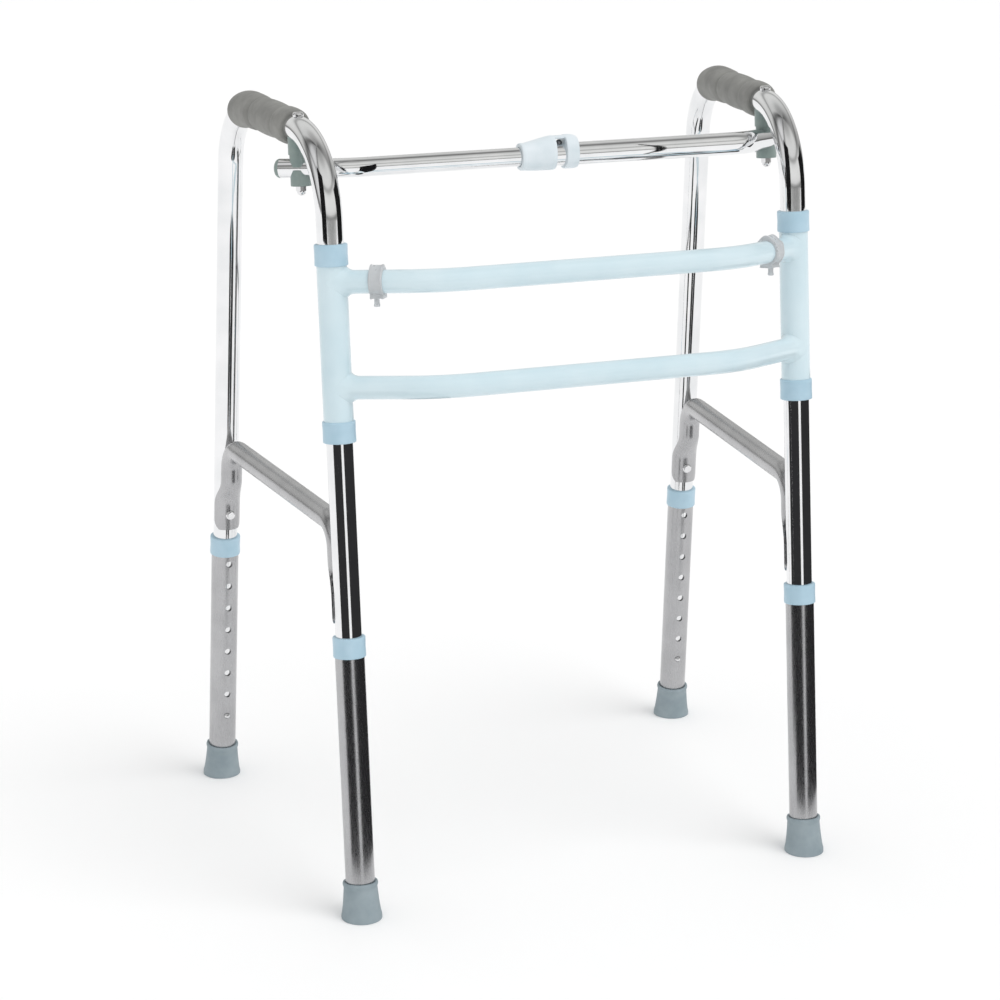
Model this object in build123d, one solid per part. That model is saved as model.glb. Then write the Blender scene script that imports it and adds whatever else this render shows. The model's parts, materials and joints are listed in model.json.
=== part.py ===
from build123d import *
import math
import os

# A folding walking frame. Two side frames swivel about their front legs inside a blue
# H-shaped front frame, and a telescopic bar between the handles locks them apart.
# Millimetres, +Z up, the user stands on the +Y side and walks towards -Y.
# The origin is on the floor, in the middle of the footprint.

# Stance
LEG_SPACING = 476.6      # between the two front-leg axes
FOOT_DEPTH = 415.8       # front foot to rear foot, along one side frame
FRONT_LEAN = 5.965       # degrees, front legs lean back towards the handle
REAR_LEAN = 5.635        # degrees, rear legs lean forward towards the handle
TOE_OUT = 4.17           # degrees, each side frame opens out towards the rear
HANDLE_Z = 750.0         # axis of the hand tube
FRONT_BEND_R = 82.0
REAR_BEND_R = 70.0

# Tubes: outer radius, bore radius
SIDE_TUBE = (12.7, 11.5)
LOWER_TUBE = (14.3, 13.1)
SLEEVE = (14.3, 13.1)
CROSS_TUBE = (11.1, 9.9)
OUTER_BAR = (11.1, 9.6)
INNER_BAR = (9.2, 8.0)
BRACE_R = 11.0
RUN_GAP = 0.05           # between a moving tube and the bush that guides it

# Height adjustment, measured along each leg from the floor
HOLE_PITCH = 25.4
HOLE_COUNT = 8
LOWEST_HOLE = 75.0
BUTTON_HOLE_R = 3.5
BUTTON_R = 3.2
SIDE_TUBE_END = 55.0
LOWER_TUBE_START = 7.0
LOWER_TUBE_TOP = 277.0

# Collars, measured along the leg
COLLAR_R = 15.9
LEG_COLLAR = (261.5, 281.5)
SLEEVE_COLLAR_LOW = (470.0, 490.5)
SLEEVE_COLLAR_HIGH = (637.5, 658.0)
SLEEVE_SPAN = (476.0, 652.0)

# Cross bars of the front frame
BAR_HEIGHTS = {"upper": 622.0, "lower": 522.0}
BOW = 54.5               # how far the middle of a cross bar stands forward
BOW_KINK_X = 151.0
BOW_BEND_R = 115.0
CLIP_X = 201.0

# Braces low in the side frames
BRACE_Z = 384.0
BRACE_BEND_R = 26.0
BRACE_STAND_OFF = 17.0   # brace centre line from the leg axis, along its turned-down ends
SADDLE_SPAN = (290.0, 356.0)
SADDLE_R = 15.0
RIVET_Z = 310.0
RIVET_R = 2.5
RIVET_HEAD_R = 5.0

# Telescopic bar and its pivots under the handles
PIVOT_Y = 146.0          # in the side frame, at the height of the bar
PIVOT_Z = 713.0
BAR_FORWARD = 30.6       # middle of the bar, ahead of its pivots
BAR_BEND_X = 205.0
BAR_BEND_R = 40.0
BAR_TAIL = 20.0          # bar end beyond its pivot
BOLT_R = 3.0
SPACER_R = 10.0
SPLIT_W = 13.0           # swivel face above the bar's axis
SPACER_DROP = 7.5        # lower spacer below the bar
OUTER_BAR_MOUTH = -20.0
INNER_BAR_END = 25.0
LOCK_X = 8.5             # snap button of the bar

GRIP_R = 18.0
STOP_TABS = ((452.0, 469.0), (659.0, 676.0))   # spans along the front leg, beside the sleeve's collars
TIP_OUTLINE = [(19.6, -6), (20.0, 3), (19.8, 6), (18.2, 9), (17.6, 20), (17.2, 30), (16.7, 37)]
GRIP_START_Y = 160.0
GRIP_WRAP = 25.0         # degrees of the rear bend that the grip covers

os.makedirs("parts", exist_ok=True)
SIDES = {"left": -1, "right": 1}
LEAN_AXIS = (0, math.sin(math.radians(FRONT_LEAN)), math.cos(math.radians(FRONT_LEAN)))
nodes = {}


# ---------------------------------------------------------------- helpers
def ring(start, end, outer, inner):
    """A round sleeve about Z between two heights."""
    body = Pos(0, 0, start) * Cylinder(outer, end - start, align=(Align.CENTER, Align.CENTER, Align.MIN))
    if inner:
        long_bore = Cylinder(inner, end - start + 2, align=(Align.CENTER, Align.CENTER, Align.MIN))
        body -= Pos(0, 0, start - 1) * long_bore
    return body


def rod(start, end, radius):
    """A round bar from one point to another."""
    start, end = Vector(start), Vector(end)
    return Solid.make_cylinder(radius, (end - start).length, Plane(origin=start, z_dir=end - start))


def swept(path, radius):
    """A round bar along a path."""
    section = Plane(origin=path @ 0, z_dir=path % 0) * Circle(radius)
    return sweep(section, path=path)


def in_side_frame(shape, side):
    """From a side frame's own upright plane to its place, opened out by the toe-out."""
    turned = shape.rotate(Axis((0, 0, 0), LEAN_AXIS), -side * TOE_OUT)
    return Pos(side * LEG_SPACING / 2, 0, 0) * turned


def on_front_leg(shape):
    """From a leg's own axis (Z) to the front leg of the side frame's plane."""
    return Rot(-FRONT_LEAN, 0, 0) * shape


def on_rear_leg(shape):
    """From a leg's own axis (Z) to the rear leg, turned so that its +Y faces the front leg."""
    return Pos(0, FOOT_DEPTH, 0) * Rot(REAR_LEAN, 0, 0) * Rot(0, 0, 180) * shape


def at_pivot(shape):
    """From the pivot bolt's own axis (Z, 0 at the bar's axis) to the side frame's plane."""
    return Pos(0, PIVOT_Y, PIVOT_Z) * Rot(-FRONT_LEAN, 0, 0) * shape


LEGS = {"front": on_front_leg, "rear": on_rear_leg}


# ---------------------------------------------------------------- side frames
def side_path(start=0.0):
    """Centre line of the bent side tube, up the front leg, along the handle and down the rear leg."""
    lean_f, lean_r = math.radians(FRONT_LEAN), math.radians(REAR_LEAN)
    foot_f = (0, SIDE_TUBE_END * math.sin(lean_f), SIDE_TUBE_END * math.cos(lean_f))
    corner_f = (0, HANDLE_Z * math.tan(lean_f), HANDLE_Z)
    corner_r = (0, FOOT_DEPTH - HANDLE_Z * math.tan(lean_r), HANDLE_Z)
    foot_r = (0, FOOT_DEPTH - SIDE_TUBE_END * math.sin(lean_r), SIDE_TUBE_END * math.cos(lean_r))
    return FilletPolyline(foot_f, corner_f, corner_r, foot_r, radius=[FRONT_BEND_R, REAR_BEND_R])


def facing_hole(height, radius, depth=20.0):
    """A cutter through the wall of a leg that faces the other leg of its side frame."""
    inside_leg = 6.0
    return rod((0, inside_leg, height), (0, depth, height), radius)


def side_tube():
    tube = swept(side_path(), SIDE_TUBE[0]) - swept(side_path(), SIDE_TUBE[1])
    for place in LEGS.values():
        tube -= place(facing_hole(LOWEST_HOLE, BUTTON_HOLE_R))
        tube -= place(facing_hole(RIVET_Z, RIVET_R))
    return tube - at_pivot(rod((0, 0, 15), (0, 0, 60), BOLT_R))


def lower_tube():
    """Outer tube of a leg with its row of height holes, about Z."""
    tube = ring(LOWER_TUBE_START, LOWER_TUBE_TOP, *LOWER_TUBE)
    for step in range(HOLE_COUNT):
        tube -= facing_hole(LOWEST_HOLE + step * HOLE_PITCH, BUTTON_HOLE_R)
    return tube


def leg_collar():
    """Plastic bush that caps the lower tube and guides the side tube."""
    low, high = LEG_COLLAR
    cap = fillet(ring(low, high, COLLAR_R, 0).edges().filter_by(GeomType.CIRCLE), 0.9)
    cap -= ring(low - 1, LOWER_TUBE_TOP, LOWER_TUBE[0], 0)
    return cap - ring(LOWER_TUBE_TOP - 1, high + 1, SIDE_TUBE[0] + RUN_GAP, 0)


def rubber_tip():
    """Flared rubber foot about Z, made long and cut off level with the floor later."""
    wall = LOWER_TUBE[0]
    outline = [(0, TIP_OUTLINE[0][1])] + TIP_OUTLINE
    outline += [(wall, TIP_OUTLINE[-1][1]), (wall, LOWER_TUBE_START), (0, LOWER_TUBE_START)]
    profile = make_face(Polyline(*[(radius, 0, height) for radius, height in outline], close=True))
    return revolve(profile, Axis.Z)


def cut_at_floor(shape):
    return shape - Pos(0, 0, -50) * Box(1400, 1400, 100)


def snap_button():
    """Round button with a domed head and an inner flange, pointing along +Y."""
    shank = rod((0, 9.6, LOWEST_HOLE), (0, 14.4, LOWEST_HOLE), BUTTON_R)
    flange = rod((0, 9.2, LOWEST_HOLE), (0, 10.4, LOWEST_HOLE), 4.2)
    dome = Pos(0, 13.7, LOWEST_HOLE) * Sphere(BUTTON_R)
    return shank + flange + dome


def leaf_spring(depth, width, length):
    """V-shaped spring strip: one leaf under the button, the other against the far wall."""
    outline = Polyline((depth, -5), (depth, 4), (depth - 5.5, length), (-depth + 2, length),
                       (-depth - 0.6, -3), (-depth + 0.3, -3), (-depth + 2.6, length - 1.1),
                       (depth - 6.2, length - 1.1), (depth - 0.8, 3.5), (depth - 0.8, -5), close=True)
    return extrude(Plane.YZ * make_face(outline), amount=width / 2, both=True)


def grip():
    """Soft sleeve round the handle tube that runs down onto the rear bend."""
    lean_r = math.radians(REAR_LEAN)
    turn = math.radians(90) - lean_r
    bend_start = FOOT_DEPTH - HANDLE_Z * math.tan(lean_r) - REAR_BEND_R * math.tan(turn / 2)
    straight = Line((0, GRIP_START_Y, HANDLE_Z), (0, bend_start, HANDLE_Z))
    bend = CenterArc((0, 0), REAR_BEND_R, 90 - GRIP_WRAP, GRIP_WRAP)
    bend = Pos(0, bend_start, HANDLE_Z - REAR_BEND_R) * (Plane.YZ * bend)
    path = Wire([straight.edges()[0], bend.edges()[0]])
    return swept(path, GRIP_R) - swept(path, SIDE_TUBE[0] + RUN_GAP)


def saddle_outline():
    """Tongue shape of a saddle seen from the side that faces the other leg."""
    low, high = SADDLE_SPAN
    sketch = Pos(0, (low + 14 + high) / 2) * Rectangle(28, high - low - 14) + Pos(0, low + 14) * Circle(14)
    return extrude(Plane.XZ * sketch, amount=-40)


def brace():
    """Tube across the side frame whose ends turn down and flatten into saddles on the legs."""
    low_z = SADDLE_SPAN[0] + 25
    lean_f, lean_r = math.tan(math.radians(FRONT_LEAN)), math.tan(math.radians(REAR_LEAN))

    def beside_front(z):
        return (0, z * lean_f + BRACE_STAND_OFF, z)

    def beside_rear(z):
        return (0, FOOT_DEPTH - z * lean_r - BRACE_STAND_OFF, z)

    path = FilletPolyline(beside_front(low_z), beside_front(BRACE_Z), beside_rear(BRACE_Z),
                          beside_rear(low_z), radius=BRACE_BEND_R)
    body = swept(path, BRACE_R)
    # the tube thins towards the leg over the length of the saddle
    wedge = Polyline((12, 346), (32, 372), (60, 372), (60, 280), (14.9, 280), (14.9, 312), close=True)
    wedge = extrude(Plane.YZ * make_face(wedge), amount=30, both=True)
    for place in LEGS.values():
        body -= place(wedge)
        shell = ring(*SADDLE_SPAN, SADDLE_R, 0) & saddle_outline()
        body += place(shell)
        body -= place(ring(200, 500, SIDE_TUBE[0] + RUN_GAP, 0))
        body -= place(facing_hole(RIVET_Z, RIVET_R, 30.0))
    hollow_start = beside_front(BRACE_Z)[1] + 45
    hollow_end = beside_rear(BRACE_Z)[1] - 45
    return body - rod((0, hollow_start, BRACE_Z), (0, hollow_end, BRACE_Z), BRACE_R - 1.4)


def rivet():
    head = Cylinder(RIVET_HEAD_R, 4, align=(Align.CENTER, Align.CENTER, Align.MIN))
    head = Pos(0, SADDLE_R - 1.8, RIVET_Z) * Rot(-90, 0, 0) * head
    head = fillet(head.edges().sort_by(Axis.Y)[-1], 1.6)
    head -= ring(RIVET_Z - 8, RIVET_Z + 8, SADDLE_R, 0)
    shank = rod((0, 9, RIVET_Z), (0, SADDLE_R + 1, RIVET_Z), RIVET_R)
    tail = rod((0, 8.2, RIVET_Z), (0, 10.6, RIVET_Z), 3.6)
    return head + shank + tail


def stop_tab(start, end):
    """Small raised tab on the rear face of a front leg that keeps the collar in place."""
    tab = Pos(0, 13.5, (start + end) / 2) * Box(7, 5.4, end - start)
    tab = fillet(tab.edges().filter_by(Axis.Y), 2.5)
    return tab - ring(start - 2, end + 2, SIDE_TUBE[0], 0)


def handle_saddle():
    """Plastic seat that hangs under the handle tube on the pivot bolt."""
    block = ring(SPLIT_W + RUN_GAP, 34, 11.0, BOLT_R)
    return at_pivot(block) - swept(side_path(), SIDE_TUBE[0])


def pivot_bolt(bar_radius):
    head = Pos(0, 0, 46) * Cylinder(5.5, 7.4, align=(Align.CENTER, Align.CENTER, Align.MIN))
    head = fillet(head.edges().sort_by(Axis.Z)[-1], 2.8)
    head = at_pivot(head) - swept(side_path(), SIDE_TUBE[0])
    return at_pivot(rod((0, 0, -bar_radius - SPACER_DROP - 6), (0, 0, 50.5), BOLT_R)) + head


def dome_nut(bar_radius):
    top = -bar_radius - SPACER_DROP - 0.2
    hexagon = extrude(RegularPolygon(5.6, 6), 4.5)
    dome = Pos(0, 0, -0.4) * Sphere(4.4)
    nut = Pos(0, 0, top - 4.5) * (hexagon + dome)
    return at_pivot(nut) - at_pivot(rod((0, 0, top + 1), (0, 0, top - 5.8), BOLT_R))


# ---------------------------------------------------------------- telescopic bar
PIVOT_BACK = PIVOT_Y * LEAN_AXIS[2] - PIVOT_Z * LEAN_AXIS[1]
PIVOT_UP = PIVOT_Y * LEAN_AXIS[1] + PIVOT_Z * LEAN_AXIS[2]
PIVOT_X = LEG_SPACING / 2 + PIVOT_BACK * math.sin(math.radians(TOE_OUT))
BOLT_LINE = PIVOT_BACK * math.cos(math.radians(TOE_OUT))
BAR_LINE = BOLT_LINE - BAR_FORWARD


def in_bar_plane(shape):
    """From the bar's own plane (X along the bar, Y rearward, Z along the bolts) to its place."""
    return Rot(-FRONT_LEAN, 0, 0) * Pos(0, 0, PIVOT_UP) * shape


def bar_end(side):
    """Tip of the bar beyond its pivot, and the unit direction it points in."""
    run, rise = PIVOT_X - BAR_BEND_X, BAR_FORWARD
    length = math.hypot(run, rise)
    along = Vector(side * run / length, rise / length, 0)
    return Vector(side * PIVOT_X, BOLT_LINE, 0) + along * BAR_TAIL, along


def bar_path(side, inner_x):
    tip, _ = bar_end(side)
    return FilletPolyline((inner_x, BAR_LINE, 0), (side * BAR_BEND_X, BAR_LINE, 0), tip, radius=BAR_BEND_R)


def bar_tube(side, inner_x, radii):
    tube = swept(bar_path(side, inner_x), radii[0]) - swept(bar_path(side, inner_x), radii[1])
    tube -= Pos(side * PIVOT_X, BOLT_LINE, 0) * Cylinder(BOLT_R + RUN_GAP, 40)
    lock_hole = rod((LOCK_X, BAR_LINE, 3), (LOCK_X, BAR_LINE, 20), BUTTON_R)
    return tube - lock_hole


def bar_end_cap(side, radii):
    """Domed plug in the outer end of a bar tube."""
    tip, along = bar_end(side)
    seat = Plane(origin=tip, z_dir=along)
    dome = Cylinder(radii[0], 5, align=(Align.CENTER, Align.CENTER, Align.MIN))
    dome = fillet(dome.edges().sort_by(Axis.Z)[-1], 4.4)
    plug = Cylinder(radii[1], 9, align=(Align.CENTER, Align.CENTER, Align.MAX))
    return seat * (dome + plug)


def pivot_spacers(side, inner_x, radii):
    """Plastic washers above and below the bar, hollowed to sit on its round wall."""
    above = ring(1.5, SPLIT_W, SPACER_R, BOLT_R + RUN_GAP)
    below = ring(-radii[0] - SPACER_DROP, -1.5, SPACER_R, BOLT_R + RUN_GAP)
    solid_bar = swept(bar_path(side, inner_x), radii[0])
    place = Pos(side * PIVOT_X, BOLT_LINE, 0)
    pieces = []
    for spacer in (above, below):
        cut = (place * spacer) - solid_bar
        pieces.append(cut.solids().sort_by(SortBy.VOLUME)[-1])
    return Compound(children=pieces)


def release_slider():
    """Plastic hood that slides along the outer tube and rides over the snap button."""
    def disc(x, radius, lift):
        return Plane(origin=(x, BAR_LINE, lift), z_dir=(1, 0, 0)) * Circle(radius)

    hood = loft([disc(-33, 12.3, 0), disc(1, 13.8, 0)])
    hood += loft([disc(-33, 11.2, 0.6), disc(-4, 11.6, 7.2)])
    hood += loft([disc(-4, 11.6, 7.2), disc(1, 11.6, 7.2)])
    collar = Plane(origin=(12.5, BAR_LINE, 0), z_dir=(1, 0, 0)) * extrude(Circle(14.2), 12.5)
    collar_top = Plane(origin=(12.5, BAR_LINE, 5.6), z_dir=(1, 0, 0)) * extrude(Circle(11.8), 9.5)
    strap = Pos(6.5, BAR_LINE, 16.7) * Box(18, 13, 3.2)
    body = hood + collar + collar_top + strap
    bore = rod((-28.5, BAR_LINE, 0), (40, BAR_LINE, 0), OUTER_BAR[0] + RUN_GAP)
    mouth = rod((-40, BAR_LINE, 0), (-20, BAR_LINE, 0), INNER_BAR[0] + 0.4)
    ramp = Polyline((-12, 8), (-12, 11.4), (1.1, 15.1), (13, 15.1), (13, 8), close=True)
    ramp = Pos(0, BAR_LINE, 0) * extrude(Plane.XZ * make_face(ramp), amount=4.2, both=True)
    return body - bore - mouth - ramp


def bar_button():
    shank = rod((LOCK_X, BAR_LINE, 6.6), (LOCK_X, BAR_LINE, 12.6), BUTTON_R - 0.2)
    flange = rod((LOCK_X, BAR_LINE, 5.6), (LOCK_X, BAR_LINE, 6.7), 3.9)
    dome = Pos(LOCK_X, BAR_LINE, 11.6) * Sphere(BUTTON_R - 0.2)
    return shank + flange + dome


def bar_button_spring():
    strip = leaf_spring(5.4, 5.0, 26)
    return Pos(LOCK_X, BAR_LINE, 0) * Rot(90, 0, 0) * Rot(0, -90, 0) * strip


# ---------------------------------------------------------------- front frame
def in_front_plane(shape):
    """From the plane of the front legs (Z up the legs, Y rearward) to its place."""
    return Rot(-FRONT_LEAN, 0, 0) * shape


def cross_bar(height):
    """Bowed tube between the sleeves, with flared weld beads, coped to the sleeves."""
    half = LEG_SPACING / 2
    path = FilletPolyline((-half, 0, height), (-BOW_KINK_X, -BOW, height), (BOW_KINK_X, -BOW, height),
                          (half, 0, height), radius=BOW_BEND_R)
    bar = swept(path, CROSS_TUBE[0])
    for side in SIDES.values():
        along = Vector(-side * (half - BOW_KINK_X), -BOW, 0).normalized()
        seat = Plane(origin=Vector(side * half, 0, height) + along * 12.5, z_dir=along)
        bar += seat * Cone(13.6, CROSS_TUBE[0], 7, align=(Align.CENTER, Align.CENTER, Align.MIN))
    bar -= swept(path, CROSS_TUBE[1])
    for side in SIDES.values():
        bar -= Pos(side * half, 0, 0) * ring(height - 60, height + 60, SLEEVE[0], 0)
    return bar.solids().sort_by(SortBy.VOLUME)[-1]


def sleeve_collar(span):
    """Plastic bush that cups the end of a sleeve and guides the leg."""
    low, high = span
    cap = fillet(ring(low, high, COLLAR_R, 0).edges().filter_by(GeomType.CIRCLE), 0.9)
    cap -= ring(*SLEEVE_SPAN, SLEEVE[0], 0)
    return cap - ring(low - 1, high + 1, SIDE_TUBE[0] + RUN_GAP, 0)


def clip_seat(side):
    """Plane across the sloping end of the upper cross bar, its Z along the bar."""
    half = LEG_SPACING / 2
    offset = BOW * (half - CLIP_X) / (half - BOW_KINK_X)
    along = Vector(side * (half - BOW_KINK_X), BOW, 0).normalized()
    return Plane(origin=(side * CLIP_X, -offset, BAR_HEIGHTS["upper"]), x_dir=(0, 0, 1), z_dir=along)


def bar_clip(side):
    """Snap-on plastic band with a raised keeper on its back and a foot for its screw."""
    band = Cylinder(13.2, 14)
    keeper = Pos(9.0, side * 5.0, 0) * Cylinder(7.6, 14)
    foot = Pos(-13.0, 0, 0) * Box(6, 8, 14)
    clip = band + keeper + foot - Cylinder(CROSS_TUBE[0], 20)
    clip -= Pos(-12, 0, 0) * Rot(0, 90, 0) * Cylinder(2.5, 12)
    return clip_seat(side) * clip


def clip_screw(side):
    screw = Rot(0, 90, 0) * Cylinder(2.5, 12.5)
    tip = Pos(-3.5, 0, 0) * Rot(0, 90, 0) * Cylinder(3.1, 5.5)
    return clip_seat(side) * (Pos(-17.8, 0, 0) * (screw + tip))


# ---------------------------------------------------------------- assembly
for name, height in BAR_HEIGHTS.items():
    nodes[f"{name}_cross_bar"] = in_front_plane(cross_bar(height))

for name, side in SIDES.items():
    at_leg = Pos(side * LEG_SPACING / 2, 0, 0)
    nodes[f"sleeve_{name}"] = in_front_plane(at_leg * ring(*SLEEVE_SPAN, *SLEEVE))
    nodes[f"sleeve_collar_{name}_upper"] = in_front_plane(at_leg * sleeve_collar(SLEEVE_COLLAR_HIGH))
    nodes[f"sleeve_collar_{name}_lower"] = in_front_plane(at_leg * sleeve_collar(SLEEVE_COLLAR_LOW))
    nodes[f"bar_clip_{name}"] = in_front_plane(bar_clip(side))
nodes["clip_screws"] = Compound(children=[in_front_plane(clip_screw(s)).solid() for s in SIDES.values()])

for name, side in SIDES.items():
    bar_radius = INNER_BAR[0] if side < 0 else OUTER_BAR[0]
    frame = {
        "side_tube": side_tube(),
        "grip": grip(),
        "brace": brace(),
        "brace_rivets": Compound(children=[place(rivet()).solid() for place in LEGS.values()]),
        "handle_saddle": handle_saddle(),
        "pivot_bolt": pivot_bolt(bar_radius),
        "dome_nut": dome_nut(bar_radius),
        "stop_tabs": Compound(children=[on_front_leg(stop_tab(*span)).solid() for span in STOP_TABS]),
        "button_springs": Compound(children=[
            place(Pos(0, 0, LOWEST_HOLE) * leaf_spring(9.0, 7.0, 38)).solid() for place in LEGS.values()]),
    }
    for part, shape in frame.items():
        nodes[f"{part}_{name}"] = in_side_frame(shape, side)
    for leg, place in LEGS.items():
        nodes[f"lower_tube_{leg}_{name}"] = in_side_frame(place(lower_tube()), side)
        nodes[f"leg_collar_{leg}_{name}"] = in_side_frame(place(leg_collar()), side)
        nodes[f"rubber_tip_{leg}_{name}"] = cut_at_floor(in_side_frame(place(rubber_tip()), side))
        nodes[f"snap_button_{leg}_{name}"] = in_side_frame(place(snap_button()), side)

nodes["bar_inner_tube"] = in_bar_plane(bar_tube(-1, INNER_BAR_END, INNER_BAR))
nodes["bar_outer_tube"] = in_bar_plane(bar_tube(1, OUTER_BAR_MOUTH, OUTER_BAR))
nodes["bar_end_cap_left"] = in_bar_plane(bar_end_cap(-1, INNER_BAR))
nodes["bar_end_cap_right"] = in_bar_plane(bar_end_cap(1, OUTER_BAR))
nodes["pivot_spacers_left"] = in_bar_plane(pivot_spacers(-1, INNER_BAR_END, INNER_BAR))
nodes["pivot_spacers_right"] = in_bar_plane(pivot_spacers(1, OUTER_BAR_MOUTH, OUTER_BAR))
nodes["release_slider"] = in_bar_plane(release_slider())
nodes["bar_button"] = in_bar_plane(bar_button())
nodes["bar_button_spring"] = in_bar_plane(bar_button_spring())

# The origin goes to the middle of the footprint.
boxes = [shape.bounding_box() for shape in nodes.values()]
middle_x = (min(b.min.X for b in boxes) + max(b.max.X for b in boxes)) / 2
middle_y = (min(b.min.Y for b in boxes) + max(b.max.Y for b in boxes)) / 2
for name, shape in nodes.items():
    export_step(Pos(-middle_x, -middle_y, 0) * shape, f"parts/{name}.step")
print("nodes", len(nodes), "shift", round(-middle_x, 3), round(-middle_y, 3))
print("pivot", round(PIVOT_X, 3), round(BOLT_LINE, 3), round(PIVOT_UP, 3))
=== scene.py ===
import json
import math

import bmesh
import bpy
from mathutils import Matrix, Vector


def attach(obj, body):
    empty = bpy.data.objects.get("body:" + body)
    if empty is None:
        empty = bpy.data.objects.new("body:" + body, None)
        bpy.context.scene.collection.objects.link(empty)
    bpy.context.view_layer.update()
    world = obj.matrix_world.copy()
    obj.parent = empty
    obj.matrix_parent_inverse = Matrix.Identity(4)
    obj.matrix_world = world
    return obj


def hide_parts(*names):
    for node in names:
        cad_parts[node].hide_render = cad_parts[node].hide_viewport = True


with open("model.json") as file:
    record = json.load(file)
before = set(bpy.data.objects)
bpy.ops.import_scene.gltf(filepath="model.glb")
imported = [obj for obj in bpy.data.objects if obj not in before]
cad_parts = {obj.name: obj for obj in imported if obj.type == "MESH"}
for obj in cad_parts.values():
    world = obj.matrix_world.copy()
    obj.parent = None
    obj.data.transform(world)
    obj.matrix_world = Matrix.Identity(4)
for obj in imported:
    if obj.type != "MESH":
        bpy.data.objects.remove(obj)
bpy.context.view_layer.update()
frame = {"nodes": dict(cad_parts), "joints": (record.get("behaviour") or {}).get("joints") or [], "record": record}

RECORD = frame["record"]
NODES = frame["nodes"]
JOINTS = {joint["name"]: joint for joint in frame["joints"]}
MOUNTS = {mount["name"]: mount for mount in RECORD["mounts"]}
SIDES = {"left": -1, "right": 1}
LEGS = ("front", "rear")
MM = 0.001
ROUND = 72                                   # vertices round a tube

# Sizes of the real pieces, in millimetres, as in the design
SIDE_TUBE_R, SIDE_BORE_R, SIDE_TUBE_END = 12.7, 11.5, 55.0
SLEEVE_R = 14.3
CROSS_R = 11.1
BAR_HEIGHTS = {"upper": 622.0, "lower": 522.0}
BOW, BOW_KINK_X, BOW_BEND_R = 54.5, 151.0, 115.0
LEG_COLLAR, LEG_CUP = (261.5, 281.5), (0, 277.0)
SLEEVE_COLLARS = {"upper": (637.5, 658.0), "lower": (470.0, 490.5)}
SLEEVE_CUPS = {"upper": (0, 652.0), "lower": (476.0, 999.0)}
COLLAR_R, BUSH_BORE_R, CUP_R = 15.9, 12.76, 14.32
HANDLE_Z, FRONT_BEND_R, REAR_BEND_R = 750.0, 82.0, 70.0
GRIP_START_Y, GRIP_WRAP, GRIP_EDGE_R = 160.0, 25.0, 2.6
BRACE_Z, BRACE_R, BRACE_BEND_R, BRACE_STAND_OFF = 384.0, 11.0, 26.0, 17.0
SADDLE_LOW, SADDLE_OUTER_R = 290.0, 14.9
FLAT_FROM, FLAT_TO = 352.0, 322.0            # heights between which the brace is pressed flat
BAR_BEND_X, BAR_BEND_R, BAR_TAIL = 205.0, 40.0, 20.0
OUTER_BAR, INNER_BAR = (11.1, 9.6), (9.2, 8.0)
OUTER_BAR_MOUTH, INNER_BAR_END, BAR_FORWARD = -20.0, 25.0, 30.6
CLIP_X = 201.0


# ---------------------------------------------------------------- places, read from the frame
def axes_matrix(origin, x_axis, y_axis, z_axis):
    """A frame of millimetres: its columns are the axes, scaled to metres."""
    matrix = Matrix((x_axis, y_axis, z_axis)).transposed().to_4x4()
    matrix.translation = origin
    return matrix @ Matrix.Scale(MM, 4)


def leg_matrix(leg, side):
    """Z up the leg from the floor, Y towards the other leg of its side frame."""
    up = -Vector(JOINTS[f"leg_height_{leg}_{side}"]["axis"])
    facing = -Vector(JOINTS[f"button_press_{leg}_{side}"]["axis"])
    origin = Vector(MOUNTS[f"foot_{leg}_{side}"]["pos_m"])
    return axes_matrix(origin, facing.cross(up), facing, up)


LEAN_AXIS = -Vector(JOINTS["fold"]["axis"])
FRONT_FOOT = {side: Vector(MOUNTS[f"foot_front_{side}"]["pos_m"]) for side in SIDES}
HALF = FRONT_FOOT["right"].x / MM
FRONT_PLANE = axes_matrix(Vector((0, FRONT_FOOT["left"].y, 0)), Vector((1, 0, 0)),
                          LEAN_AXIS.cross(Vector((1, 0, 0))), LEAN_AXIS)
PIVOT = {side: FRONT_PLANE.inverted() @ Vector(JOINTS[f"bar_pivot_{side}"]["pos_m"]) for side in SIDES}
BAR_Z = PIVOT["right"].z
BAR_LINE = PIVOT["right"].y - BAR_FORWARD


def side_matrix(side):
    """The side frame's own plane: Y along the feet, Z upright, as if it stood on the floor unturned."""
    foot = FRONT_FOOT[side]
    up = LEAN_AXIS
    along = leg_matrix("front", side).to_3x3() @ Vector((0, 1, 0))
    along.normalize()
    across = along.cross(up)
    lean = math.asin(FRONT_PLANE.to_3x3()[1][2] / MM)
    y_axis = along * math.cos(lean) + up * math.sin(lean)
    z_axis = up * math.cos(lean) - along * math.sin(lean)
    return axes_matrix(foot, across, y_axis, z_axis)


FRONT_LEAN = math.asin(LEAN_AXIS.y)
REAR_UP = side_matrix("left").to_3x3().inverted() @ -Vector(JOINTS["leg_height_rear_left"]["axis"])
REAR_LEAN = math.atan2(-REAR_UP.y, REAR_UP.z)
FOOT_DEPTH = (side_matrix("left").inverted() @ Vector(MOUNTS["foot_rear_left"]["pos_m"])).y


# ---------------------------------------------------------------- mesh building
def link_new(name, data):
    """A new object in the scene."""
    obj = bpy.data.objects.new(name, data)
    bpy.context.scene.collection.objects.link(obj)
    return obj


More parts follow.
